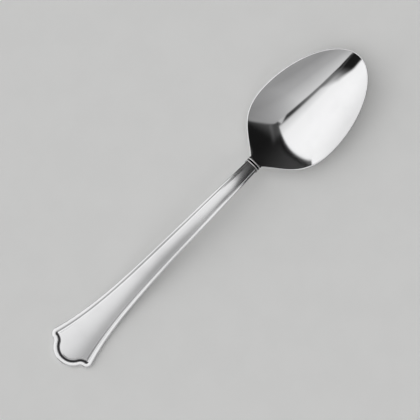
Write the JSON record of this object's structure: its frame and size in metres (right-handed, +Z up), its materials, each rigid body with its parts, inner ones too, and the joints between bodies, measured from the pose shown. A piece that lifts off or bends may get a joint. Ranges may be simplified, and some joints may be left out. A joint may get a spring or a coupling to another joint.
{
  "type": "dessert spoon",
  "caption": "Polished steel dessert spoon with an egg-shaped bowl, a beaded collar at the neck and an arched handle with a moulded border and a lobed end.",
  "frame": {"origin": "on the table under the middle of the spoon's length, with the spoon lying bowl up", "axes": "+X from the end of the handle to the lip of the bowl, +Z up out of the bowl, symmetric about Y = 0"},
  "size_m": [0.185, 0.0408, 0.0161],
  "materials": {
    "bowl_steel": "mirror polished stainless steel",
    "collar_steel": "polished stainless steel",
    "handle_steel": "polished stainless steel"
  },
  "bodies": {
    "root": {"bowl": "bowl_steel", "collar": "collar_steel", "handle": "handle_steel"}
  },
  "joints": []
}
